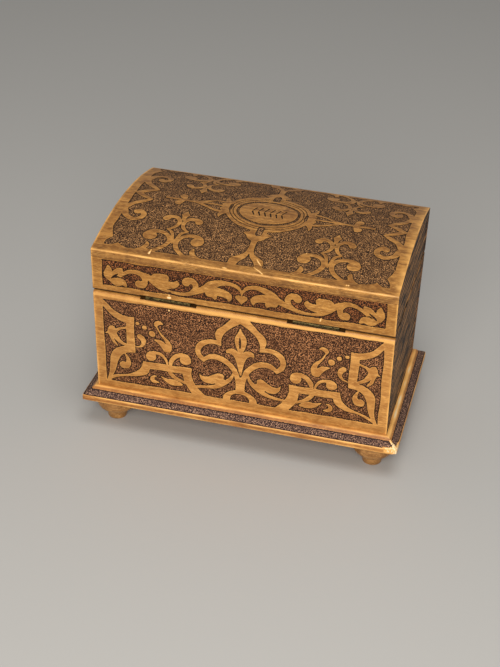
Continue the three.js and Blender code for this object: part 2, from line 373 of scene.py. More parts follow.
# %% Tulip and vine
TULIP = [
    stroke((10.8, 20.8, .6), (11.3, 17.5, 4.2), (10.8, 14, 5.6), (11.6, 11.6, 5)),
    stroke((12.5, 11.5, 3.4), (15.5, 14.6, 4.4), (18.3, 16.6, 5.4), (20.4, 19.2, 1.6)),
    stroke((12.6, 9.4, 2.6), (16, 8.6, 5.8), (20, 9.2, 4.8), (22.8, 6.6, 1.6)),
]
TULIP_SLIT = [stroke((13, 10.8, .8), (15, 12.6, 1.6), (17.8, 14.9, .5))]
VINE = [
    stroke((19, 14, 3), (22, 16, 2.4), (26, 18.4, 2.8), (31, 19, 3.4), (35.2, 16.6, 4.4), (36, 12.5, 3.8),
           (34.5, 9.7, 5), (32.2, 9.6, 5.8)),
    stroke((34.6, 18, 3), (38, 16.6, 3.8), (42, 13, 4), (48, 8.7, 2.8), (55, 7.4, 2), (63, 8.1, 2.6),
           (69, 10.4, 3.6), (75, 13.4, 4.6), (80, 16, 5)),
    stroke((66, 9.4, 2), (69.2, 12.5, 3.4), (69.8, 16, 3.8), (67.6, 18.7, 4.2),
           (64.5, 18.2, 5.2), (63.6, 17, 5.4)),
    shape([(39.4, 15.6), (40.8, 18.6), (44, 20.2), (50.2, 20.6)],
          [(50.2, 20.6), (51.9, 18.4), (51.4, 15.4)],
          [(51.4, 15.4), (55, 15.6), (57.6, 17.2)],
          [(57.6, 17.2), (59.3, 14.6), (57, 11.4), (53.5, 10), (49, 8.8)]),
    shape([(73, 13), (77, 18.3), (82, 21), (88, 22.6), (93, 22.2), (97.6, 20.2), (HALF, 16.6)],
          [(BEYOND, 16.6), (BEYOND, 12)],
          [(HALF, 12), (98.9, 15.2), (96.3, 18), (92, 19.4), (87.5, 18.6), (83.8, 16.6)],
          [(83.8, 16.6), (87, 16), (91, 14.8), (93.8, 11.8), (93.6, 8.6), (92, 6.6)],
          [(92, 6.6), (90.5, 9), (87, 10), (84.3, 10.2), (83.8, 11.4)],
          [(83.8, 11.4), (84.3, 8.5), (83, 6.6)],
          [(83, 6.6), (81, 8.2), (77.5, 8.6), (76.2, 10.2), (75.6, 12)]),
    shape([(HALF, 12.4), (98.4, 13.1), (96.4, 12.5), (96.2, 10.6), (98, 8.8), (HALF, 6.4)],
          [(BEYOND, 6.4), (BEYOND, 12.4)]),
]

# %% The rail's field
RAIL_END_BORDER = 6.8
RAIL_LOW_BORDER = 5.2
RAIL_HIGH_BORDER = 24.9
RAIL_SKEW = 0.006  # the same for the rail's drawing


def vine(x, up):
    """The rail's drawing at a place: x along the casket, up the face from the lid's rim."""
    across, up = unsteady(HALF - x, up + RAIL_SKEW * x, 5)
    half = HALF - np.abs(HALF - across)
    field = np.maximum(drawn(TULIP + VINE, half, up), -drawn(TULIP_SLIT, half, up))
    return bordered(field, half - RAIL_END_BORDER, up - RAIL_LOW_BORDER, RAIL_HIGH_BORDER - up)


# %% [markdown]
# ## The ornament of the lid's top
# The middle holds an oval cartouche, with a clasp towards each long edge and a lance towards
# each end. Four palmettes stand on the long borders, and a curl and a zig-zag on the end
# borders. Near and far halves mirror each other about the oval's middle, the far one squeezed.
# The cartouche holds two rows of slanted strokes.

# %% Palmette, clasp, lance and end border
PALMETTE_AXIS = 48.9
PALMETTE = [  # across counts from the palmette's own axis
    shape([(0, 55.6), (1.2, 52.8), (3, 50.2)],
          [(3, 50.2), (1.6, 47.6), (.9, 43)],
          [(-4, 43), (-4, 55.6)]),
    stroke((7.4, 31.2, .5), (3.8, 33.4, 2.2), (1.7, 37.8, 2.6), (2, 42.4, 2.8),
           (5, 45.9, 3.2), (9.2, 46, 4), (10.9, 43.6, 5.2)),
    stroke((0, 17, 1), (1.4, 23, 1.6), (3.2, 28.6, 2.2), (6.8, 31.2, 1.2)),
    stroke((11.5, 6.4, 2.6), (6.8, 10, 2.9), (3.3, 15, 3.2), (2.7, 20.4, 3), (5.6, 25.2, 3),
           (10.8, 27.2, 3.3), (16.2, 26, 3.6), (19, 22.6, 2.6)),
    dot(16, 21.8, 4.5),
    shape([(24, 5), (21, 7), (18.3, 9.2), (17, 12), (16.3, 15.2)],
          [(16.3, 15.2), (14.3, 13), (13.9, 10.8), (15, 8.6)],
          [(15, 8.6), (12, 7.6), (9.6, 5)]),
]
CLASP = [
    shape([(93.5, 48), (94.3, 43)],
          [(94.3, 43), (91.8, 41.8), (90, 40.4)],
          [(90, 40.4), (93, 38.2), (95, 34.8), (98.2, 32)],
          [(98.2, 32), (98.1, 25), (97, 19), (93, 15), (89.3, 12), (88, 5)],
          [(93, 5), (95.5, 10.5), (98.5, 14.5), (HALF, 19)],
          [(BEYOND, 19), (BEYOND, 48)]),
]
CLASP_SLOT = [stroke((100.6, 48, 4.6), (100.6, 41.4, 4.6), (100.6, 39, .6))]
LANCE = [
    shape([(74, 79), (66, 78.4), (57.4, 75.4), (50, 71.9)],
          [(50, 71.9), (28, 72.4)],
          [(28, 69.6), (50, 69.7)],
          [(50, 69.7), (58, 65), (66, 61.4), (74, 60.6)]),
    stroke((42, 72, 1.4), (39.4, 76.4, 5.4), (39.8, 78.6, 2)),
    stroke((42, 70, 1.4), (39, 66, 5.4), (40, 63.4, 2)),
]
LANCE_HOLES = [
    shape([(54.5, 70), (61, 65.9), (69.4, 63.1)],
          [(69.4, 63.1), (67, 67), (68.6, 70)]),
    shape([(56.5, 72.2), (62.5, 75.8), (69.4, 77)],
          [(69.4, 77), (67.2, 74), (68.6, 71.8)]),
    stroke((74, 67.4, 2.2), (74, 74.6, 2.2)),
]
LANCE_THORN = [stroke((71.5, 62, 4), (69.6, 58.6, 3), (69.3, 54.6, .8))]
END_CURL = [
    stroke((4, 52, 7), (7.8, 45, 5), (10.4, 39.4, 3.8), (16, 36.6, 3.6), (20.8, 39, 3.8), (21.6, 43.6, 3.8),
           (18.6, 47, 4.2), (16.4, 45.6, 5)),
    stroke((7, 49, 5), (10.6, 55.4, 4), (15.4, 59.6, 4), (20.2, 64.2, 2)),
    stroke((20.2, 64.2, 2), (14.6, 67.4, 3.8), (9, 72.2, 4)),
]
BORDER_THORNS = [
    shape([(4, 28), (7, 24.6), (8.3, 20), (10.4, 15)],
          [(10.4, 15), (8.6, 12.8), (7.2, 10.4), (6, 7)]),
    shape([(9, 5.6), (12.2, 7.4), (15.4, 9.8)],
          [(15.4, 9.8), (17.4, 8), (20.4, 7), (24.6, 5.2)]),
]

# %% The lid top's field
OVAL_UP = 70.3  # the oval's middle, from the near crease
RING_ACROSS = 29.0  # half sizes of the cartouche
RING_UP = 26.0
LINE_ACROSS = 20.8  # half sizes of the dark oval line
LINE_UP = 16.8
LINE_HALF_WIDTH = 1.0
GROOVES = ((26.2, 22.9), (24, 20.4))  # half sizes of the thin lines between the two
GROOVE_HALF_WIDTH = 0.38
ROW_LEAN = 0.9  # half of what a slanted stroke leans
ROW_HALF = 2.4  # half its height
CURL_MIRROR = 72.2  # the curls mirror about this line, a little beyond the oval's middle
FAR_SQUEEZE = 1.148  # beyond the cartouche the far half is shorter by this much
TOP_END_BORDER = 6.8
TOP_NEAR_BORDER = 6.6
TOP_FAR_BORDER = 129.0
TOP_SKEW = 0.00015  # the drawing widens by this share towards +X


def oval(across, up, half_across, half_up):
    """Distance from an oval about the middle, from its formula divided by the formula's slope."""
    x = across - HALF
    y = up - OVAL_UP
    reach = np.hypot(x / half_across, y / half_up)
    slope = np.hypot(x / half_across ** 2, y / half_up ** 2) + 1e-6
    return reach * (reach - 1) / slope


def slanted_rows(across, up):
    """Two rows of short slanted strokes, the rows leaning opposite ways."""
    rows = []
    for row_up, lean in ((73.4, ROW_LEAN), (67, -ROW_LEAN)):
        for place in HALF + np.linspace(-10, 10, 6):
            foot = (place - lean, row_up - ROW_HALF, 1)
            head = (place + lean, row_up + ROW_HALF, 1.3)
            rows.append(stroke(foot, head))
    return drawn(rows, across, up)


def top_field(x, up):
    """The top's drawing at a place: x along the casket, up along the arch from the near crease."""
    across, up = unsteady(HALF - x, up / (1 + TOP_SKEW * x), 8)
    half = HALF - np.abs(HALF - across)
    far = up - OVAL_UP
    squeezed = np.minimum(far, RING_UP) + np.maximum(far - RING_UP, 0) * FAR_SQUEEZE
    near = np.where(far > 0, OVAL_UP - squeezed, up)
    curl_up = CURL_MIRROR - np.abs(CURL_MIRROR - up)
    lance_up = OVAL_UP - np.abs(OVAL_UP - up)
    field = np.minimum(drawn(CLASP + BORDER_THORNS, half, near),
                       drawn(PALMETTE, np.abs(half - PALMETTE_AXIS), near))
    field = np.minimum(field, drawn(END_CURL, half, curl_up))
    field = np.minimum(field, drawn(LANCE, half, up))
    field = np.minimum(field, drawn(LANCE_THORN, half, lance_up))
    field = np.minimum(field, oval(across, up, RING_ACROSS, RING_UP))
    cuts = np.minimum(drawn(CLASP_SLOT, across, near), drawn(LANCE_HOLES, half, up))
    cuts = np.minimum(cuts, np.abs(oval(across, up, LINE_ACROSS, LINE_UP)) - LINE_HALF_WIDTH)
    for half_across, half_up in GROOVES:
        cuts = np.minimum(cuts, np.abs(oval(across, up, half_across, half_up)) - GROOVE_HALF_WIDTH)
    cuts = np.minimum(cuts, slanted_rows(across, up))
    return bordered(np.maximum(field, -cuts), half - TOP_END_BORDER,
                    up - TOP_NEAR_BORDER, TOP_FAR_BORDER - up)


# %% [markdown]
# ## From rings to a board
# Every board is a closed ring of points carried from one end to the other and capped. That
# is one grid of points for the whole board, so the relief, which only moves points along the
# face's normal, can never tear it open. Each point also carries two numbers for the finish:
# burn, the distance from the drawing, and rub, how much wear and painted highlight have
# brightened the place; below nothing it is painted shade that darkens it.

# %% Mesh from a grid of rings
SHARP = math.radians(38)


def ring_mesh(name, rings, burn=None, rub_and_light=None):
    """A closed mesh from rings[i, j]: point j of ring i. Four neighbours make a face, the last
    point of a ring is next to its first, and the first and last ring are filled. The two
    fillings take the piece's last material, where it has more than one."""
    count, around, _ = rings.shape
    index = np.arange(count * around).reshape(count, around)
    ahead = np.roll(index, -1, axis=1)
    quads = np.stack((index[:-1], ahead[:-1], ahead[1:], index[1:]), axis=-1).reshape(-1, 4)
    loops = np.concatenate((quads.ravel(), index[0, ::-1], index[-1]))
    starts = np.concatenate((np.arange(len(quads)) * 4, [quads.size, quads.size + around]))
    mesh = bpy.data.meshes.new(name)
    mesh.vertices.add(count * around)
    mesh.vertices.foreach_set("co", (rings * MM).astype(np.float32).ravel())
    mesh.loops.add(len(loops))
    mesh.loops.foreach_set("vertex_index", loops.astype(np.int32))
    mesh.polygons.add(len(starts))
    mesh.polygons.foreach_set("loop_start", starts.astype(np.int32))
    for label, values in (("burn", burn), ("rub_and_light", rub_and_light)):
        spread = np.zeros((count, around)) if values is None else np.broadcast_to(values, (count, around))
        if label == "burn" and values is None:
            spread = spread - REACH
        layer = mesh.attributes.new(label, "FLOAT", "POINT")
        layer.data.foreach_set("value", spread.astype(np.float32).ravel())
    mesh.update(calc_edges=True)
    mesh.validate()
    mesh.polygons.foreach_set("use_smooth", np.ones(len(mesh.polygons), bool))
    mesh.set_sharp_from_angle(angle=SHARP)
    mesh.polygons.foreach_set("material_index", np.repeat((0, 1), (len(mesh.polygons) - 2, 2)))
    piece = bpy.data.objects.new(name, mesh)
    bpy.context.collection.objects.link(piece)
    return piece


# %% Stations, runs and corners
EASED_POINTS = 5


def stations(length, step):
    """Evenly spaced places from 0 to the length, no further apart than the step."""
    return np.linspace(0, length, max(2, math.ceil(length / step) + 1))


def run(start, stop, step):
    """Points on a straight line, without its last one."""
    start, stop = np.asarray(start, float), np.asarray(stop, float)
    t = stations(math.dist(start, stop), step)[:-1, None] / math.dist(start, stop)
    return start + (stop - start) * t


def eased(corner, before, after, radius):
    """A worn corner: a curve that leaves the two edges at the radius and is drawn to the corner."""
    corner = np.asarray(corner, float)
    start = corner + radius * (before - corner) / np.linalg.norm(before - corner)
    stop = corner + radius * (after - corner) / np.linalg.norm(after - corner)
    t = np.linspace(0, 1, EASED_POINTS)[:, None]
    return (1 - t) ** 2 * start + 2 * t * (1 - t) * corner + t ** 2 * stop


# %% [markdown]
# ## Relief
# The burnt ground lies a quarter of a millimetre below the ornament, with a soft edge, and
# the punch left it rough. The roughness is a little height for every point, always the same
# because its random numbers start from a written seed.

# %% Depth of the ground
GROUND_DEPTH = 0.26
EDGE_WIDTH = 0.5  # the step from ornament to ground takes this long
PUNCH_DEPTH = 0.09


def ramp(value, low, high):
    """Nothing up to the low value, one from the high value on, and smooth between them."""
    t = np.clip((value - low) / (high - low), 0, 1)
    return t * t * (3 - 2 * t)


def ground_depth(burn, seed):
    """How far each place lies below the ornament: a smooth step at the drawn edge, plus noise."""
    step = ramp(burn / EDGE_WIDTH, -0.4, 0.6)
    noise = np.random.default_rng(seed).uniform(0, 1, burn.shape)
    return step * (GROUND_DEPTH + PUNCH_DEPTH * (noise - 0.5))


# %% [markdown]
# ## Wood, burnt and plain
# The wood is pale with a warm stain. Its grain is noise stretched along the board, in three
# sizes: broad figure, fine fibres and short dark pores. Over it lies the burnt ground, where
# the burn number is above nothing. It was stippled dot by dot, so its pattern is made of
# cells: a dark dot in the middle of each cell and the light rest of the wood between them.
# The rub number is worn wood and painted highlight at 1, bare chipped wood and the brightest
# painted highlight near 2, and painted shade, with some darker wood, below nothing.

# %% Colours and node helpers
def tint(red, green, blue):
    """A colour as seen on a screen, 0 to 255, turned to the linear values that a shader takes."""
    seen = np.array((red, green, blue)) / 255
    linear = np.where(seen <= 0.04045, seen / 12.92, ((seen + 0.055) / 1.055) ** 2.4)
    return (*linear, 1)


class Nodes:
    """Short names for the nodes that the finishes use."""

    def __init__(self, name):
        self.material = bpy.data.materials.new(name)
        self.material.use_nodes = True
        self.tree = self.material.node_tree
        self.shader = self.tree.nodes["Principled BSDF"]

    def node(self, kind, **settings):
        node = self.tree.nodes.new(kind)
        for key, value in settings.items():
            setattr(node, key, value)
        return node

    def feed(self, socket, value):
        if isinstance(value, bpy.types.NodeSocket):
            self.tree.links.new(value, socket)
        else:
            socket.default_value = value

    def place(self, scale):
        """Object coordinates in millimetres, then stretched by the scale."""
        coordinates = self.node("ShaderNodeTexCoord")
        mapping = self.node("ShaderNodeMapping")
        self.feed(mapping.inputs["Vector"], coordinates.outputs["Object"])
        mapping.inputs["Scale"].default_value = [s / MM for s in scale]
        return mapping.outputs["Vector"]

    def noise(self, scale, detail=2.0, distortion=0.0):
        noise = self.node("ShaderNodeTexNoise")
        self.feed(noise.inputs["Vector"], self.place(scale))
        noise.inputs["Scale"].default_value = 1
        noise.inputs["Detail"].default_value = detail
        noise.inputs["Distortion"].default_value = distortion
        return noise.outputs["Fac"]

    def cells(self, number):
        """Distance from the middle of the nearest cell, with that many cells in a millimetre."""
        cells = self.node("ShaderNodeTexVoronoi")
        self.feed(cells.inputs["Vector"], self.place((number, number, number)))
        cells.inputs["Scale"].default_value = 1
        return cells.outputs["Distance"]

    def waves(self, scale, bend):
        """Bands that lie across Z and are bent by noise."""
        waves = self.node("ShaderNodeTexWave", bands_direction="Z")
        self.feed(waves.inputs["Vector"], self.place(scale))
        waves.inputs["Scale"].default_value = 1
        waves.inputs["Distortion"].default_value = bend
        waves.inputs["Detail"].default_value = 1
        waves.inputs["Detail Scale"].default_value = 1.5
        return waves.outputs["Fac"]

    def between(self, value, low, high, to_low=0.0, to_high=1.0):
        """A value taken smoothly from one range to another."""
        ranger = self.node("ShaderNodeMapRange", interpolation_type="SMOOTHSTEP")
        self.feed(ranger.inputs["Value"], value)
        labels = ("From Min", "From Max", "To Min", "To Max")
        for label, number in zip(labels, (low, high, to_low, to_high)):
            ranger.inputs[label].default_value = number
        return ranger.outputs["Result"]

    def mix(self, share, first, second):
        """The first colour, or the second where the share is 1."""
        mix = self.node("ShaderNodeMix", data_type="RGBA")
        self.feed(mix.inputs["Factor"], share)
        self.feed(mix.inputs[6], first)
        self.feed(mix.inputs[7], second)
        return mix.outputs[2]

    def combine(self, kind, first, second):
        """Two values added or multiplied, as the kind says."""
        result = self.node("ShaderNodeMath", operation=kind)
        self.feed(result.inputs[0], first)
        self.feed(result.inputs[1], second)
        return result.outputs[0]

    def number(self, label):
        """One of the numbers that every point of a mesh carries."""
        reader = self.node("ShaderNodeAttribute", attribute_name=label)
        return reader.outputs["Fac"]

    def bump(self, height, distance, strength):
        """Roughens the shader by a height, whose full step is the distance in millimetres."""
        bump = self.node("ShaderNodeBump")
        bump.inputs["Strength"].default_value = strength
        bump.inputs["Distance"].default_value = distance * MM
        self.feed(bump.inputs["Height"], height)
        self.feed(self.shader.inputs["Normal"], bump.outputs["Normal"])


# %% The wood's own colour
ALONG = 0.011  # grain is stretched by about thirty along the board
ACROSS = 0.33
FLECK = tint(255, 200, 120)  # light flecks between the pores
# worn wood, and also the colour of painted highlights on lit edges
WORN_AND_HIGHLIGHT = tint(255, 192, 106)
# bare chipped wood, and also the colour of the brightest painted highlights
BARE_AND_HIGHLIGHT = tint(255, 226, 176)
# painted shade in the lid gap, the hinge recesses and the foot grooves, and darker wood in some bands
SHADE_AND_DARKENING = tint(46, 24, 10)


def stretched(grain, along, across):
    """The three scales for a grain that runs along the axis x, y or z."""
    return [along if axis == grain else across for axis in "xyz"]


def grain_colour(n, grain, pale, deep, streak):
    """Broad figure from pale to deep, then fibres and pores in the streak colour, then wear,
    painted highlight and painted shade.
    Returns the colour and the fibres, which the relief needs too."""
    figure = n.noise(stretched(grain, ALONG, ACROSS), 3, 0.8)
    fibre = n.noise(stretched(grain, 7 * ALONG, 7 * ACROSS), 2)
    pore = n.noise(stretched(grain, 36 * ALONG, 6 * ACROSS), 1)
    patch = n.noise((0.04, 0.05, 0.05), 2)
    mottle = n.noise((0.14, 0.2, 0.2), 3, 0.5)
    rub_and_light = n.number("rub_and_light")
    colour = n.mix(n.between(figure, 0.32, 0.68), deep, pale)
    colour = n.mix(n.between(fibre, 0.36, 0.6, 0.42, 0), colour, streak)
    colour = n.mix(n.between(pore, 0.54, 0.68, 0, 0.5), colour, streak)
    colour = n.mix(n.between(pore, 0.44, 0.32, 0, 0.3), colour, FLECK)
    colour = n.mix(n.between(patch, 0.4, 0.66, 0, 0.5), colour, deep)
    colour = n.mix(n.between(mottle, 0.5, 0.66, 0, 0.4), colour, streak)
    colour = n.mix(n.between(mottle, 0.48, 0.34, 0, 0.3), colour, pale)
    # worn wood and painted highlight, then bare wood and bright painted highlight, then painted shade below
    # nothing
    colour = n.mix(n.between(rub_and_light, 0, 1, 0, 0.9), colour, WORN_AND_HIGHLIGHT)
    colour = n.mix(n.between(rub_and_light, 1, 1.8), colour, BARE_AND_HIGHLIGHT)
    colour = n.mix(n.between(rub_and_light, 0, -1, 0, 0.88), colour, SHADE_AND_DARKENING)
    return colour, fibre


# %% The burnt ground and the whole finish
def wood(name, grain, pale, deep, streak, light, ground, dark, punch=1.0, shine=0.35, veins=None):
    """Stained wood with a stippled, burnt ground. grain is the axis it runs along. pale, deep
    and streak are the wood's own colours, and light, ground and dark those of the burnt parts.
    punch is the number of dots in a millimetre. shine is how much the wood reflects, and the
    burnt parts do half as much. veins is the colour of the pale streaks that run across the
    ground of the end boards, in two widths and broken here and there. A dark outline lies just
    inside the burnt ground, and a paler rim just outside it."""
    n = Nodes(name)
    own, fibre = grain_colour(n, grain, pale, deep, streak)
    dots = n.cells(punch)
    worm = n.noise((1.1 * punch, 1.1 * punch, 1.1 * punch), 1, 1.0)
    hue = n.noise((0.16, 0.16, 0.16), 2, 0.5)
    stipple = n.combine("ADD", dots, n.between(worm, 0.3, 0.7, -0.3, 0.3))
    burnt = n.mix(n.between(stipple, 0.3, 0.48), dark, ground)
    burnt = n.mix(n.between(stipple, 0.6, 0.76), burnt, light)
    burnt = n.mix(n.between(hue, 0.42, 0.62, 0, 0.4), burnt, ground)
    if veins:
        for size, gaps in ((0.058, 0.05), (0.08, 0.08)):
            streaks = n.between(n.waves((size, 0.35 * size, size), 4), 0.62, 0.92, 0, 0.9)
            broken = n.between(n.noise((gaps, 0.5 * gaps, 2.2 * gaps), 2), 0.4, 0.54)
            burnt = n.mix(n.combine("MULTIPLY", streaks, broken), burnt, veins)
    burn = n.number("burn")
    burnt = n.mix(n.between(burn, 0.2, 1, 0.95, 0), burnt, dark)
    waver = n.combine("ADD", burn, n.between(worm, 0.2, 0.8, -0.2, 0.2))
    mask = n.between(waver, -0.12, 0.12)
    own = n.mix(n.between(waver, -0.7, -0.2, 0, 0.35), own, pale)
    n.feed(n.shader.inputs["Base Color"], n.mix(mask, own, burnt))
    n.feed(n.shader.inputs["Roughness"], n.between(mask, 0, 1, 0.4, 0.6))
    n.feed(n.shader.inputs["Specular IOR Level"], n.between(mask, 0, 1, shine, 0.5 * shine))
    relief = n.combine("MULTIPLY", n.between(stipple, 0.2, 0.8), mask)
    n.bump(n.combine("ADD", relief, n.between(fibre, 0.3, 0.7, 0.15, 0)), 0.12, 0.7)
    return n.material


WALL_WOOD = wood("wall_wood", "x", tint(236, 172, 92), tint(184, 124, 58), tint(156, 98, 42),
                 tint(196, 134, 86), tint(76, 43, 24), tint(14, 7, 4), punch=1.4)
RAIL_WOOD = wood("rail_wood", "x", tint(204, 144, 68), tint(162, 108, 46), tint(130, 82, 32),
                 tint(176, 108, 60), tint(62, 33, 16), tint(14, 6, 3), punch=1.4)
TOP_WOOD = wood("top_wood", "x", tint(206, 146, 72), tint(150, 98, 44), tint(88, 52, 22),
                tint(206, 150, 94), tint(62, 39, 24), tint(28, 17, 11), punch=1.6, shine=0.38)
END_WOOD = wood("end_wood", "z", tint(190, 136, 70), tint(150, 102, 48), tint(110, 70, 30),
                tint(58, 34, 16), tint(30, 17, 8), tint(13, 8, 4), veins=tint(192, 138, 82))
PLAIN_WOOD = wood("plain_wood", "x", tint(198, 134, 68), tint(160, 100, 46), tint(136, 84, 42),
                  tint(190, 148, 120), tint(74, 51, 46), tint(24, 15, 18), punch=1.6)
TURNED_WOOD = wood("turned_wood", "x", tint(190, 138, 80), tint(152, 104, 54), tint(114, 76, 38),
                   tint(166, 124, 104), tint(84, 58, 50), tint(34, 22, 26))
print("woods", [m.name for m in bpy.data.materials if m.name.endswith("wood")])

# %% [markdown]
# ## Wear, painted highlight and painted shade
# Hands and shelves rub the stain off the arrises, and a few knocks show pale wood: a chip and
# two scratches on the crease, and a rubbed stretch in its middle. The brightened arrises are
# also painted highlights where rounded edges face the lamp. The tips of the hinge nails
# come through the hinge side as small bright points. The borders are darker than the rest, the
# wall's foot and right end partly as painted shade. The gap below the lid, the hinge recesses and
# the grooves under the buns are painted dark as shade.

# %% Worn arrises and knocks
# worn stain on the arrises, which also paints the highlight that rounded edges catch
ARRIS_BRIGHTENING = 0.95
ARRIS_WIDTH = 1.0
RAW = 1.7  # the rub number of a fresh knock
KNOCK_EDGE = 0.35  # a knock fades out over this width
WALL_KNOCKS = [dot(48.2, 71.5, 0.75)]
RAIL_KNOCKS = [
    dot(48, 4.6, 0.5),
    stroke((48.6, 2.6, 1.6), (47.4, 2.7, 1.6)),
    stroke((-52.2, 5.6, 0.8), (-51.6, 3.6, 0.8)),
]
RAIL_HOLES = [stroke((48, 6.2, 1.5), (47.2, 6.5, 1.3))]
TOP_KNOCKS = [
    stroke((61.8, 8.2, 0.3), (61.9, 6, 0.7), (62.1, 4.2, 1.5)),
    stroke((-6.4, 14, 0.3), (-8, 11.6, 0.7), (-10.2, 9, 0.3)),
    stroke((-6.6, 6, 0.2), (-9.4, 4.2, 0.6), (-13, 1.6, 0.6)),
    stroke((15, 0.8, 0.4), (11.5, 1.2, 1.6), (8, 0.8, 0.4)),
    dot(-66.4, 3.2, 0.5),
    dot(-67.6, 3.3, 0.5),
    dot(-35.3, 28, 0.5),
    dot(71.5, 38.5, 0.4),
]


def arris(distance, along, seed):
    """Wear and painted highlight beside an edge: strongest on it, and uneven along it by slow waves."""
    phase = np.random.default_rng(seed).uniform(0, 2 * math.pi, 3)
    waves = sum(np.sin(along / length + p) for length, p in zip((3.1, 7.7, 19.0), phase)) / 3
    return ARRIS_BRIGHTENING * np.exp(-(distance / ARRIS_WIDTH) ** 2) * (0.75 + 0.5 * waves)


def knocked(marks, x, up):
    """Raw wood inside a mark, nothing a little outside it."""
    return RAW * np.clip(0.5 - drawn(marks, x, up) / KNOCK_EDGE, 0, 1)


# %% [markdown]
# ## The long boards
# The walls of the body and the rails of the lid lean outwards. Their ring is the board's
# section: underside, leaning outer face, rounded rim, top and inner face. Only the outer
# face is drawn finely, because only it carries the ornament. Where a hinge lies, the rim of
# the back boards drops into a shallow recess.

# %% Section of a leaning board
FACE_NORMAL = np.array([math.cos(LEAN), -math.sin(LEAN)])
INNER_STEP = 12.0
HINGE_AT = 49.0  # from the middle
RECESS_HALF = 19.0
RECESS_DEPTH = 1.0
RECESS_SIDE = 0.02  # half the width of a recess's steep side
CAP_EDGE = 0.15  # the stain of the end grain stops this far round the corner
RIM_HALF_SHADE = 0.45  # painted shade in the gap: the rim's share where light still falls on it, and 1 further in
HALF_SHADE_IN = (0, 0.4)  # how far in from the face the lighter painted shade begins, and is full
GAP_SHADE_UP = (-1.8, -1.1)  # how far from the rim's height the painted shade fades, and is full
DEEP_SHADE_IN = (1.7, 2.6)  # the same for the deep painted shade
RAIL_SHADE_UP = (-1.3, -0.7)  # on the rail's face the painted shade fades, and is full, this far from its rim
FRONT_SHADE = 0.4  # the opening side holds only this share of both painted shades


def section(low_in, low_out, high_out, high_in, rounds, face_step, edge_step):
    """A board's section through its four corners, the two outer ones worn round. Returns the
    points and which of them lie on the flat outer face."""
    low_edge = eased(low_out, low_in, high_out, rounds[0])
    high_edge = eased(high_out, low_out, high_in, rounds[1])
    parts = [run(low_in, low_edge[0], edge_step), low_edge[:-1],
             run(low_edge[-1], high_edge[0], face_step), high_edge[:-1],
             run(high_edge[-1], high_in, edge_step), run(high_in, low_in, INNER_STEP)]
    ends = np.cumsum([len(part) for part in parts])
    return np.vstack(parts), slice(ends[1], ends[2])


def leaning_ring(low, high, rounds, step):
    """Section of a leaning board on the +Y side as pairs of y and z, turning from y towards z."""
    places = ((inside(low), low), (outside(low), low), (outside(high), high), (inside(high), high))
    return section(*np.array(places), rounds, step, INNER_STEP)


def along_casket(step):
    """Places along X, with close pairs at the ends of the board and of the hinge recesses."""
    edges = [side * HINGE_AT + end * RECESS_HALF + shift
             for side in (-1, 1) for end in (-1, 1) for shift in (-RECESS_SIDE, RECESS_SIDE)]
    edges += [CAP_EDGE - END, END - CAP_EDGE]
    return np.unique(np.concatenate((stations(2 * END, step) - END, edges)))


def stained_ends(burn, rub_and_light):
    """The end grain is stained like the end boards, so the last ring at each end is burnt."""
    burn[[0, -1]] = REACH
    rub_and_light[[0, -1]] = 0


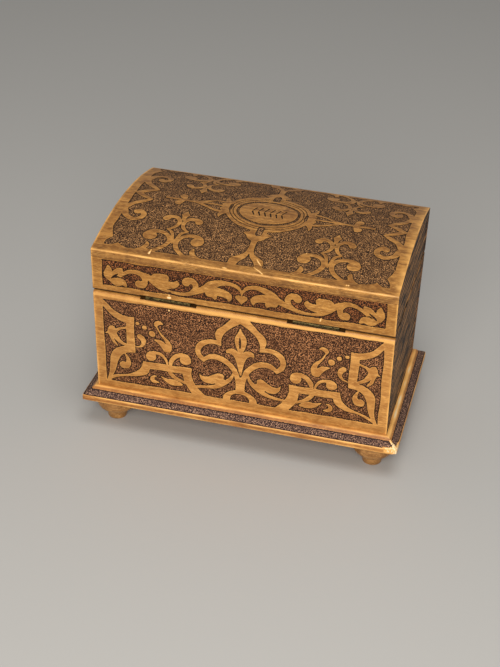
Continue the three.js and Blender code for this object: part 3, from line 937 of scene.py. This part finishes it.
def long_board(name, ring, face, xs, field, knocks, tan, seed, side, rim, recess):
    """A leaning board: the ring carried along X, its face lowered by the relief.
    tan gives how much darker each place of the face is painted, as darker wood and painted shade,
    and where it is negative a painted highlight. side is 1 for the hinge side and -1 for
    the opening side. Points at the height rim move by the recess where a hinge lies, and the
    recess and the gap beside that rim are painted dark as shade. The inner face is stained where an
    end board meets it."""
    burn = np.full((len(xs), len(ring)), -REACH)
    low = ring[:, 1].min()
    x_grid, up_grid = np.meshgrid(xs, (ring[:, 1] - low) / math.cos(LEAN), indexing="ij")
    burn[:, face] = field(side * x_grid[:, face], up_grid[:, face])
    burn = np.minimum(burn, drawn(knocks, side * x_grid, up_grid))
    from_rim = np.abs(ring[:, 1] - rim) / math.cos(LEAN)
    rub_and_light = np.maximum(arris(from_rim, x_grid, seed), arris(END - np.abs(x_grid), up_grid, seed + 1))
    # darker wood and painted shade from tan, and a painted highlight where tan is negative
    rub_and_light = rub_and_light - tan(side * x_grid, up_grid) * (1 - rub_and_light)
    raw = knocked(knocks, side * x_grid, up_grid)
    rub_and_light = np.where(raw > 0, raw, rub_and_light)
    # painted shade: the rim and the rail's lower edge are darkened where the lid's gap shades them
    in_from_face = outside(rim) - ring[:, 0]
    gap_shade = RIM_HALF_SHADE * ramp(in_from_face, *HALF_SHADE_IN) + (1 - RIM_HALF_SHADE) * ramp(in_from_face, *DEEP_SHADE_IN)
    gap_shade = gap_shade * ramp(-np.abs(ring[:, 1] - rim), *GAP_SHADE_UP)
    if rim == low:
        gap_shade = np.maximum(gap_shade, ramp(-from_rim, *RAIL_SHADE_UP))
    gap_shade = gap_shade * (1 if side > 0 else FRONT_SHADE)
    rub_and_light = rub_and_light - (1 + rub_and_light) * gap_shade
    depth = ground_depth(burn, seed)
    rings = np.empty((*burn.shape, 3))
    rings[..., 0] = xs[:, None]
    rings[..., 1] = ring[:, 0] - depth * FACE_NORMAL[0]
    rings[..., 2] = ring[:, 1] - depth * FACE_NORMAL[1]
    if recess:
        in_recess = (np.abs(np.abs(xs) - HINGE_AT) < RECESS_HALF)[:, None]
        at_rim = np.abs(rings[..., 2] - rim) < RECESS_DEPTH
        rings[..., 2] = np.where(in_recess & at_rim, rim + recess, rings[..., 2])
        # painted shade: the hinge recess is painted dark
        rub_and_light = np.where(in_recess & at_rim, -1, rub_and_light)
    on_inner_face = ring[:, 0] < inside(ring[:, 1]) + 0.1
    jointed = on_inner_face & (np.abs(xs[:, None]) > END - WALL)
    burn = np.where(jointed, REACH, burn)
    stained_ends(burn, rub_and_light)
    if side < 0:
        rings = rings[:, ::-1] * (1, -1, 1)
        burn, rub_and_light = burn[:, ::-1], rub_and_light[:, ::-1]
    return ring_mesh(name, rings, burn, rub_and_light)


def dress(piece, material, node, body, ends=None):
    """Gives a piece its finish, and says which node it stands for and which body it rides on."""
    piece.data.materials.append(material)
    piece.data.materials.append(ends or material)
    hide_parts(node)
    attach(piece, body)
    print(piece.name, len(piece.data.polygons), "faces")


# %% Body walls
BACK_STEP = 0.47
FRONT_STEP = 0.62
WALL_ROUNDS = (0.3, 2.6)  # at the foot and at the rim
FULL_WALL = CORNER_STRAP + SHELF_STRAP + TREFOIL_STRAP + CORNER_LEAVES + SCROLLS + LILY
PLAINER_WALL = CORNER_STRAP + TREFOIL_STRAP + LILY[:2]


def wall_tone_and_light(x, up):
    """The strip along the plinth is darker wood with painted shade, and the right end is painted
    in shade. Below the rim the wall is painted bright, a highlight on the rounded rim with some wear."""
    low = 0.27 * ramp(WALL_BORDER - up, -1, 1)
    return np.maximum(low, 0.3 * ramp(x, 40, 90)) - 0.8 * ramp(up - WALL_TOP_BORDER, -0.5, 1.5)


def body_wall(name, step, marks, knocks, seed, side, recess):
    ring, face = leaning_ring(PLINTH_TOP, BODY_RIM, WALL_ROUNDS, step)
    return long_board(name, ring, face, along_casket(step), lambda x, up: wall_field(x, up, marks),
                      knocks, wall_tone_and_light, seed, side, BODY_RIM, recess)


dress(body_wall("back_wall", BACK_STEP, FULL_WALL, WALL_KNOCKS, 11, 1, -RECESS_DEPTH),
      WALL_WOOD, "body_wall_back", "box", ends=END_WOOD)
dress(body_wall("front_wall", FRONT_STEP, PLAINER_WALL, [], 21, -1, 0),
      WALL_WOOD, "body_wall_front", "box", ends=END_WOOD)

# %% Lid rails
RAIL_STEP = 0.44
RAIL_ROUNDS = (1.2, 0.2)  # at the lid's rim and under its top


def pierced_vine(x, up):
    """The vine, opened by the dark hole that a hinge nail left."""
    return np.maximum(vine(x, up), -drawn(RAIL_HOLES, x, up))


def rail_tone_and_shade(x, up):
    """The strip below the lid's top is darker, and the right end a little darker as painted shade."""
    return np.maximum(0.22 * ramp(up - RAIL_HIGH_BORDER, -1, 1), 0.15 * ramp(x, 40, 90))


def lid_rail(name, step, field, knocks, seed, side, recess):
    ring, face = leaning_ring(LID_RIM, LID_SEAT - GLUE_GAP, RAIL_ROUNDS, step)
    return long_board(name, ring, face, along_casket(step), field, knocks, rail_tone_and_shade, seed, side,
                      LID_RIM, recess)


dress(lid_rail("back_rail", RAIL_STEP, pierced_vine, RAIL_KNOCKS, 12, 1, RECESS_DEPTH),
      RAIL_WOOD, "lid_rail_back", "lid", ends=END_WOOD)
dress(lid_rail("front_rail", FRONT_STEP, vine, [], 22, -1, 0),
      RAIL_WOOD, "lid_rail_front", "lid", ends=END_WOOD)

# %% [markdown]
# ## The lid's top
# The real top is one board, hollowed below and arched above. Its ring runs over the arch from
# the hinge side to the opening side, down the edge, and back along the hollow. The arch is
# part of a circle through both creases and the crown, and up is counted along it.

# %% Arched top
TOP_STEP = 0.6
HOLLOW_STEP = 6.0
CREASE_ROUND = 0.9
TOP_EDGE = 5.5  # height of the top's edge above its seat
CROWN_THICKNESS = 5.8
CREASE = LID_SEAT + TOP_EDGE
WORN_BAND = 4.0  # the left end's band is worn this many times wider than an arris
EDGE_STEP = 0.8
EDGE_TAN = 0.3  # the edge below the crease went darker, and so did the near border
# wear on the crease, which also paints its highlight
CREASE_WEAR_AND_HIGHLIGHT = 0.95
BAND_WEAR = 0.7
CORNER_KEPT = 4  # the crease's corner takes the place of the points before this one


def arch_radius(half, rise):
    """Radius of a circle through both ends of a chord and the crown above its middle."""
    return (half * half + rise * rise) / (2 * rise)


def arch(half, spring, rise, step):
    """A shallow arch from its +Y end to its -Y end, as pairs of y and z, with the length along
    it and the angle from its crown."""
    radius = arch_radius(half, rise)
    spread = math.asin(half / radius)
    angle = spread - stations(2 * spread * radius, step) / radius
    points = np.stack((radius * np.sin(angle), spring + rise + radius * (np.cos(angle) - 1)), axis=-1)
    return points, radius * (spread - angle), angle


def lid_top():
    over, up, angle = arch(outside(CREASE), CREASE, CROWN - CREASE, TOP_STEP)
    under = arch(inside(LID_SEAT), LID_SEAT, CROWN - CROWN_THICKNESS - LID_SEAT, HOLLOW_STEP)[0][::-1]
    seat = np.array((outside(LID_SEAT), LID_SEAT))
    corner = eased(over[0], seat, over[CORNER_KEPT], CREASE_ROUND)
    near_edge = np.vstack((run(seat, corner[0], EDGE_STEP), corner))
    far_edge = near_edge[::-1] * (-1, 1)
    kept = slice(CORNER_KEPT - 1, 1 - CORNER_KEPT)
    ring = np.vstack((near_edge, over[kept], far_edge, under))
    face = slice(len(near_edge), len(near_edge) + len(over[kept]))
    xs = along_casket(TOP_STEP)
    burn = np.full((len(xs), len(ring)), -REACH)
    rub_and_light = np.zeros(burn.shape)
    x_grid, up_grid = np.meshgrid(xs, up[kept], indexing="ij")
    burn[:, face] = np.minimum(top_field(x_grid, up_grid), drawn(TOP_KNOCKS, x_grid, up_grid))
    rub_and_light[:, face] = knocked(TOP_KNOCKS, x_grid, up_grid)
    from_crease = np.hypot(np.abs(ring[:, 0]) - outside(CREASE), ring[:, 1] - CREASE)
    from_end = END - np.abs(xs[:, None])
    # worn arrises and end bands, with the crease's painted highlight
    worn_and_lit = np.maximum(CREASE_WEAR_AND_HIGHLIGHT * arris(from_crease, xs[:, None], 31),
                      arris(from_end, ring[:, 1] + ring[:, 0], 32))
    left_band = BAND_WEAR * arris(from_end / WORN_BAND, 3 * ring[:, 0], 33) * (xs[:, None] < 0)
    worn_and_lit = np.maximum(worn_and_lit, left_band)
    tan = EDGE_TAN * ramp(CREASE - ring[:, 1], 0.3, 1.2)
    tan[face] = EDGE_TAN * ramp(TOP_NEAR_BORDER - up[kept], -1, 1)
    worn_and_lit = worn_and_lit - tan * (1 - worn_and_lit)
    rub_and_light = np.where(rub_and_light > 0, np.maximum(rub_and_light, worn_and_lit), worn_and_lit)
    depth = ground_depth(burn, 13)
    rings = np.empty((*burn.shape, 3))
    rings[..., 0] = xs[:, None]
    rings[..., 1:] = ring
    rings[:, face, 1] -= depth[:, face] * np.sin(angle[kept])
    rings[:, face, 2] -= depth[:, face] * np.cos(angle[kept])
    seated = (from_end < WALL + 1) & (np.arange(len(ring)) >= face.stop + len(far_edge))
    rub_and_light = np.where(seated, -1, rub_and_light)
    stained_ends(burn, rub_and_light)
    return ring_mesh("arched_top", rings, burn, rub_and_light)


dress(lid_top(), TOP_WOOD, "lid_top", "lid", ends=END_WOOD)

# %% [markdown]
# ## The end boards
# They fill the room between the long walls, so their sides lean with them, and the lid's pair
# ends in the arch. No ornament is drawn here: the whole face is burnt, and pale wavy streaks
# run across it. The ring is the board's section in the XZ plane, carried from side to side.
# Its height is stretched at every place to reach the arch above.

# %% End boards
END_STEP = 0.75
END_ROUNDS = (0.25, 0.25)
STAIN_IN = 1.0  # the stain also covers the edges, this far in


def end_board(name, side, low, high, crown, seed):
    """An end board. side is -1 at the left and 1 at the right, and crown gives the upper edge's
    height at a distance from the middle."""
    outer, inner = side * END, side * (END - WALL)
    places = ((inner, 0), (outer, 0), (outer, high - low), (inner, high - low))
    ring, face = section(*np.array(places), END_ROUNDS, END_STEP, STAIN_IN)
    if side > 0:
        ring = ring[::-1]
        face = slice(len(ring) - face.stop, len(ring) - face.start)
    across = stations(2, END_STEP / inside(low)) - 1
    share = ring[:, 1] / (high - low)
    half = inside(low) - GLUE_GAP + share * (inside(high) - inside(low))
    rings = np.empty((len(across), len(ring), 3))
    rings[..., 0] = ring[:, 0]
    rings[..., 1] = across[:, None] * half
    rings[..., 2] = low + share * (crown(across * (inside(high) - GLUE_GAP))[:, None] - low)
    burn = np.full(rings.shape[:2], -REACH)
    burn[:, face] = REACH
    depth = ground_depth(burn, seed)
    rings[:, face, 0] -= side * depth[:, face]
    burn[:, np.abs(ring[:, 0]) > END - STAIN_IN] = REACH
    burn[[0, -1]] = REACH
    return ring_mesh(name, rings, burn)


def lid_end_crown(y):
    """Height of the arched upper edge: an arch like the hollow of the top, a gap lower."""
    rise = CROWN - CROWN_THICKNESS - LID_SEAT
    radius = arch_radius(inside(LID_SEAT) - GLUE_GAP, rise)
    return LID_SEAT - GLUE_GAP + rise - radius + np.sqrt(radius * radius - y * y)


def level_crown(y):
    return BODY_RIM + 0 * y


for label, side, seed in (("left", -1, 14), ("right", 1, 15)):
    dress(end_board(f"body_end_board_{label}", side, PLINTH_TOP, BODY_RIM, level_crown, seed),
          END_WOOD, f"body_end_{label}", "box")
    dress(end_board(f"lid_end_board_{label}", side, LID_RIM, LID_SEAT, lid_end_crown, seed + 2),
          END_WOOD, f"lid_end_{label}", "lid")

# %% [markdown]
# ## The plinth
# One board with a moulded edge: an upright edge below, a wide chamfer, a small bead and a
# ledge. Here the ring is the outline seen from above, and the rings are stacked along the
# moulding's profile. Each ring runs from corner to corner, which mitres the moulding by
# itself. Only the chamfer is burnt. Its corners are knocked, one of them down to pale wood.

# %% Moulded plinth
OVERHANG = plinth_high[0] - END
BEAD_OUT = 3.55  # from the wall's foot to the bead's outer line
BEAD_DROP = 1.5
LEDGE = 1.75
EDGE_HEIGHT = 4.0
CHAMFER_MARGIN = 0.45  # plain wood left beside the burnt strip
PLINTH_STEP = 0.62
CORNER_KNOCK = 0.315  # how far the knocked corners are pushed in
KNOCK_WIDTH = 1.1
LEFT_LEDGE_SHEEN = 1.7  # painted reflection: the ledge at -X is brightened this much more than the others
CORNER_LIFT = 1.0  # how far the chipped corner's underside is broken away
SPLINTERED = 9.0  # length of the splintered edge beside it
CHIP_REACH = 5.0  # how far the chipped corner reaches in


def plinth_profile():
    """Pairs of overhang and height from the underside up, with worn corners, and for each point
    the distance inside the burnt strip."""
    edge_low = np.array((OVERHANG, plinth_low[2]))
    edge_high = np.array((OVERHANG, plinth_low[2] + EDGE_HEIGHT))
    bead = np.array((BEAD_OUT, PLINTH_TOP - BEAD_DROP))
    ledge = np.array((LEDGE, PLINTH_TOP))
    low_edge = eased(edge_low, edge_low - (4, 0), edge_high, 0.7)
    high_edge = eased(edge_high, edge_low, bead, 0.6)
    bead_edge = eased(bead, edge_high, ledge, 0.4)
    ledge_edge = eased(ledge, bead, ledge - (2, 0), 0.4)
    parts = [[edge_low - (6, 0)], low_edge[:-1], run(low_edge[-1], high_edge[0], 1.2), high_edge[:-1],
             run(high_edge[-1], bead_edge[0], 0.5), bead_edge[:-1],
             run(bead_edge[-1], ledge_edge[0], 0.6), ledge_edge, [ledge - (3, 0)]]
    profile = np.vstack(parts)
    width = math.dist(bead, edge_high)
    slope = (bead - edge_high) / width
    along = (profile - edge_high) @ slope
    off = np.abs((profile - edge_high) @ np.array((-slope[1], slope[0])))
    inside_strip = np.minimum(along, width - along) - CHAMFER_MARGIN
    return profile, np.where(off < 0.05, inside_strip, -REACH)


def plinth():
    """The moulded board: four sides from mitre to mitre make one outline. The corner at -X and
    +Y is chipped."""
    profile, strip = plinth_profile()
    foot = np.array((END, outside(PLINTH_TOP)))
    turns = np.array(((1, -1), (1, 1), (-1, 1), (-1, -1)))
    rings, mitre = [], []
    for start, stop in zip(turns, np.roll(turns, -1, axis=0)):
        reach = foot + profile[:, :1]
        side = np.abs(stop - start) @ foot
        t = stations(side, PLINTH_STEP)[:-1] / side
        first, last = reach * start, reach * stop
        points = first[:, None] + (last - first)[:, None] * t[:, None]
        rings.append(points)
        mitre.append(np.minimum(t, 1 - t) * side)
    outline = np.concatenate(rings, axis=1)
    from_mitre = np.concatenate(mitre)
    knock = CORNER_KNOCK * np.exp(-(from_mitre / KNOCK_WIDTH) ** 2)
    pale_corner = (outline[..., 0] < 0) & (outline[..., 1] > 0)
    outline -= np.sign(outline) * (knock * (profile[:, :1] > BEAD_OUT))[..., None]
    z = np.broadcast_to(profile[:, 1:], outline.shape[:2])
    lifted = (profile[:, :1] > OVERHANG - 3) * ramp(plinth_low[2] + 1.5 - z, 0, 1.5)
    z = z + CORNER_LIFT * lifted * np.exp(-(from_mitre / 2.5) ** 2) * pale_corner
    outermost = ramp(profile[:, :1], OVERHANG - CHIP_REACH, OVERHANG - 1)
    chip = np.exp(-(from_mitre / (0.7 + 2.6 * outermost)) ** 2) * (profile[:, :1] > BEAD_OUT)
    on_edge = (profile[:, :1] > OVERHANG - 1) & (z > plinth_low[2] + 1)
    chip = np.maximum(chip, 0.7 * on_edge * ramp(SPLINTERED - from_mitre, 0, 3))
    chip = chip * pale_corner * (0.8 + 0.5 * np.random.default_rng(41).uniform(-1, 1, chip.shape))
    burn = strip[:, None] - 4 * chip
    along = np.arange(len(from_mitre)) * PLINTH_STEP
    up_edge = z - plinth_low[2]
    from_edges = np.abs(profile[:, :1] - OVERHANG)
    from_edges = from_edges + np.minimum(np.abs(up_edge), np.abs(up_edge - EDGE_HEIGHT))
    rub_and_light = np.maximum(arris(from_edges, along, 42), 1.3 * RAW * chip)
    from_ledge = np.hypot(profile[:, :1] - LEDGE, z - PLINTH_TOP)
    rub_and_light = np.maximum(rub_and_light, arris(from_ledge, along, 44))
    on_left = np.isclose(outline[..., 0], -(END + profile[:, :1]))
    # painted reflection along the ledge at -X
    rub_and_light = np.maximum(rub_and_light, on_left * LEFT_LEDGE_SHEEN * arris(from_ledge / 1.4, along, 46))
    depth = ground_depth(burn, 45)
    return ring_mesh("plinth_board", np.dstack((outline, z - depth)), burn, rub_and_light)


dress(plinth(), PLAIN_WOOD, "plinth", "box")

# %% [markdown]
# ## The feet
# Each foot is turned: a wide bun under the plinth and a narrow peg below it. The profile is
# carried round the foot's axis. A quarter of an ellipse rounds the bun's lower part and a
# cosine draws it in towards the plinth. Fine rings from the turning tool stay on the wood.

# %% Turned feet
FOOT_HEIGHT = plinth_low[2]
BUN_RADIUS = 13.6
BUN_TOP_RADIUS = 11.6
BUN_ROUND = 4.6
BUN_LIP_RADIUS = 7.6
LIT_TURN = math.radians(42)  # how far up the bun's round the painted highlight lies
BUN_HIGHLIGHT = 1.5  # the painted highlight, times the wear of an arris
BUN_HIGHLIGHT_WIDTH = 0.7
NECK_RADIUS = 6.6
PEG_RADIUS = 7.2
PEG_HEIGHT = 7.6
PEG_TAPER = 0.8
PEG_SHOULDER = 1.4
PEG_EDGE = 0.8
TURNS = 96
TOOL_RINGS = 0.04


def foot_profile():
    """Pairs of radius and height from the floor up."""
    quarter = np.linspace(0, math.pi / 2, 14)
    lower = np.stack((BUN_LIP_RADIUS + (BUN_RADIUS - BUN_LIP_RADIUS) * np.sin(quarter),
                      PEG_HEIGHT + BUN_ROUND * (1 - np.cos(quarter))), axis=-1)
    rest = FOOT_HEIGHT - PEG_HEIGHT - BUN_ROUND
    upper = np.stack((BUN_TOP_RADIUS + (BUN_RADIUS - BUN_TOP_RADIUS) * np.cos(quarter),
                      PEG_HEIGHT + BUN_ROUND + rest * quarter / quarter[-1]), axis=-1)[1:]
    base = np.array((PEG_RADIUS - PEG_TAPER, 0))
    shoulder = np.array((PEG_RADIUS, PEG_HEIGHT - PEG_SHOULDER))
    neck = np.array((NECK_RADIUS, PEG_HEIGHT))
    peg = [[(2, 0)], eased(base, np.array((0, 0)), shoulder, PEG_EDGE),
           run(base + (shoulder - base) * 0.2, shoulder + (base - shoulder) * 0.1, 0.8),
           eased(shoulder, base, neck, 0.5), [neck]]
    return np.vstack((*peg, lower, upper))


def foot(name, node):
    """A turned foot. The profile turns about the middle of the node's box. The bun carries a
    painted highlight on the lower part of its round, and the groove below it is painted dark as shade."""
    low, high = corners(node)
    middle = (low + high) / 2
    profile = foot_profile()
    free = np.clip((profile[:, 1] - 1) / 2, 0, 1)
    radius = profile[:, 0] - TOOL_RINGS * free * (1 + np.sin(profile[:, 1] * 9))
    angle = np.arange(TURNS) * 2 * math.pi / TURNS
    rings = np.stack((middle[0] + np.outer(radius, np.cos(angle)),
                      middle[1] + np.outer(radius, np.sin(angle)),
                      np.repeat(profile[:, 1:], TURNS, axis=1)), axis=-1)
    # painted highlight on the bun's lower round
    lit_radius = BUN_LIP_RADIUS + (BUN_RADIUS - BUN_LIP_RADIUS) * math.sin(LIT_TURN)
    lit_height = PEG_HEIGHT + BUN_ROUND * (1 - math.cos(LIT_TURN))
    from_lit = np.hypot(profile[:, 0] - lit_radius, profile[:, 1] - lit_height)
    rub_and_light = BUN_HIGHLIGHT * arris(from_lit[:, None] / BUN_HIGHLIGHT_WIDTH, angle * 9, 52)
    # painted shade in the groove under the bun
    groove_shade = np.exp(-(np.hypot(profile[:, 0] - NECK_RADIUS, profile[:, 1] - PEG_HEIGHT) / 0.8) ** 2)
    rub_and_light = rub_and_light - (1 + rub_and_light) * groove_shade[:, None]
    return ring_mesh(name, rings, None, rub_and_light)


for place in ("back_left", "back_right", "front_left", "front_right"):
    dress(foot(f"turned_foot_{place}", f"foot_{place}"), TURNED_WOOD, f"foot_{place}", "box")

# %% [markdown]
# ## The hinges
# Two old butt hinges of brass, gone dark, lie let into the rims. Their leaves and pins are
# right as they come from the frame, so they keep their shape and only get a finish: dark
# metal that shows yellow where it is rubbed, under a film of old polish.

# %% Old brass
def old_brass():
    n = Nodes("old_brass")
    film = n.noise((0.5, 0.5, 0.5), 3, 0.6)
    scratch = n.noise((0.25, 3.0, 3.0), 2)
    metal = n.mix(n.between(film, 0.36, 0.62), tint(38, 32, 20), tint(98, 82, 46))
    metal = n.mix(n.between(scratch, 0.58, 0.7, 0, 0.5), metal, tint(176, 156, 96))
    n.feed(n.shader.inputs["Base Color"], metal)
    n.shader.inputs["Metallic"].default_value = 0.85
    n.feed(n.shader.inputs["Roughness"], n.between(film, 0.3, 0.7, 0.36, 0.6))
    n.bump(film, 0.05, 0.4)
    return n.material


BRASS = old_brass()
for label in ("left", "right"):
    for part in ("hinge_leaf_body", "hinge_leaf_lid", "hinge_pin"):
        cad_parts[f"{part}_{label}"].material_slots[0].material = BRASS
print("hinge finish", BRASS.name)
